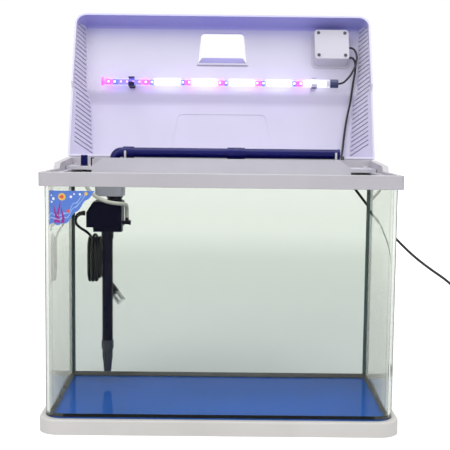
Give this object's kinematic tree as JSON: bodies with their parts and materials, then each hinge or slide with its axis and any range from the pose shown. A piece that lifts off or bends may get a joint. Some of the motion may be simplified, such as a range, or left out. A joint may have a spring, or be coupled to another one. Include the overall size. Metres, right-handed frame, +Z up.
{
  "type": "panoramic aquarium",
  "caption": "Glass tank with one bent front pane, base, top frame, internal filter tray with hanging pump, and a rear-hinged hood with an LED tube, standing open.",
  "frame": {"origin": "centre of the base's underside, where its two middle ribs cross", "axes": "+X to the right along the tank's length, +Y to the rear, +Z up"},
  "size_m": [0.75, 0.4348, 0.632],
  "materials": {
    "base_plastic": "satin moulded light grey",
    "blue_mat": "smooth blue",
    "glass": "clear polished glass",
    "silicone": "clear grey silicone",
    "frame_plastic": "satin moulded light grey",
    "tray_plastic": "satin moulded light grey",
    "light_grey_plastic": "satin",
    "black_plastic": "semi-gloss black",
    "strainer_plastic": "dark grey",
    "black_rubber": "matt black",
    "sponge": "open dark foam",
    "clear_tube": "soft clear tube",
    "clear_plastic": "clear",
    "black_cord": "matt black",
    "white_plastic": "white",
    "steel": "bright",
    "magnet": "dark grey",
    "hood_plastic": "satin moulded light grey",
    "driver_plastic": "smooth pale",
    "dark_screw": "black",
    "board": "green circuit board",
    "clear_tube_hard": "clear hard tube",
    "strip_white": "white strip",
    "chip_pink": "glowing pink",
    "chip_blue": "glowing blue",
    "chip_violet": "dim violet",
    "chip_white": "glowing white",
    "cap_plastic": "dark blue grey",
    "clip_plastic": "pale, translucent"
  },
  "bodies": {
    "root": {"base_frame": "base_plastic", "base_mat": "blue_mat", "bottom_glass": "glass", "bent_front_glass": "glass", "rear_glass": "glass", "bottom_seal": "silicone", "rear_seals": "silicone", "top_frame": "frame_plastic", "hinge_pins": "steel", "filter_tray": "tray_plastic", "filter_sponge": "sponge", "tray_hook": "black_plastic", "pump_socket": "light_grey_plastic", "outlet_coupler": "black_rubber", "spray_elbow": "black_plastic", "spray_sleeves": "black_plastic", "spray_pipe_left": "black_plastic", "spray_pipe_right": "black_plastic", "spray_end_plug": "black_plastic", "pump_cover": "black_plastic", "pump_motor": "black_plastic", "rotor_shaft": "steel", "rotor_bushes": "black_rubber", "intake_pipe": "black_plastic", "strainer": "strainer_plastic", "venturi_tee": "black_plastic", "air_valve_body": "black_plastic", "air_tube": "clear_tube", "lead_gland": "black_rubber", "pump_lead": "black_cord", "pump_lead_hank": "black_cord", "plug_lead": "black_cord", "pump_plug": "black_cord", "pump_plug_pins": "steel", "plug_pin_cover": "clear_plastic", "cord_clip": "white_plastic", "power_cord": "black_cord", "power_cord_coil": "black_cord", "power_plug_cord": "black_cord", "power_plug": "black_cord", "power_plug_pins": "steel"},
    "impeller": {"impeller": "magnet"},
    "knob": {"air_valve_knob": "black_plastic"},
    "hood": {"hood_shell": "hood_plastic", "feed_door_pin": "steel", "driver_box": "driver_plastic", "driver_cover": "driver_plastic", "driver_screws": "dark_screw", "driver_board": "board", "led_tube": "clear_tube_hard", "led_strip": "strip_white", "led_chips_pink": "chip_pink", "led_chips_blue": "chip_blue", "led_chips_violet": "chip_violet", "led_chips_white": "chip_white", "tube_end_caps": "cap_plastic", "tube_clips": "clip_plastic", "led_lead": "black_cord", "hood_lead": "black_cord"},
    "feed_flap": {"feed_door": "hood_plastic"}
  },
  "joints": [
    {"name": "hood_hinge", "type": "hinge", "parent": "root", "child": "hood", "pos_m": [0, 0.133, 0.386], "axis": [1, 0, 0], "range_deg": [0, 113.6]},
    {"name": "feed_door_hinge", "type": "hinge", "parent": "hood", "child": "feed_flap", "pos_m": [0, 0.24515, 0.54707], "axis": [1, 0, 0], "range_deg": [0, 59]},
    {"name": "air_valve_turn", "type": "hinge", "parent": "root", "child": "knob", "pos_m": [-0.2188, 0.072, 0.384], "axis": [0, 0, 1], "range_deg": [-135, 135]},
    {"name": "impeller_spin", "type": "hinge", "parent": "root", "child": "impeller", "pos_m": [-0.186, 0.085, 0.297], "axis": [0, 1, 0], "continuous": true}
  ]
}
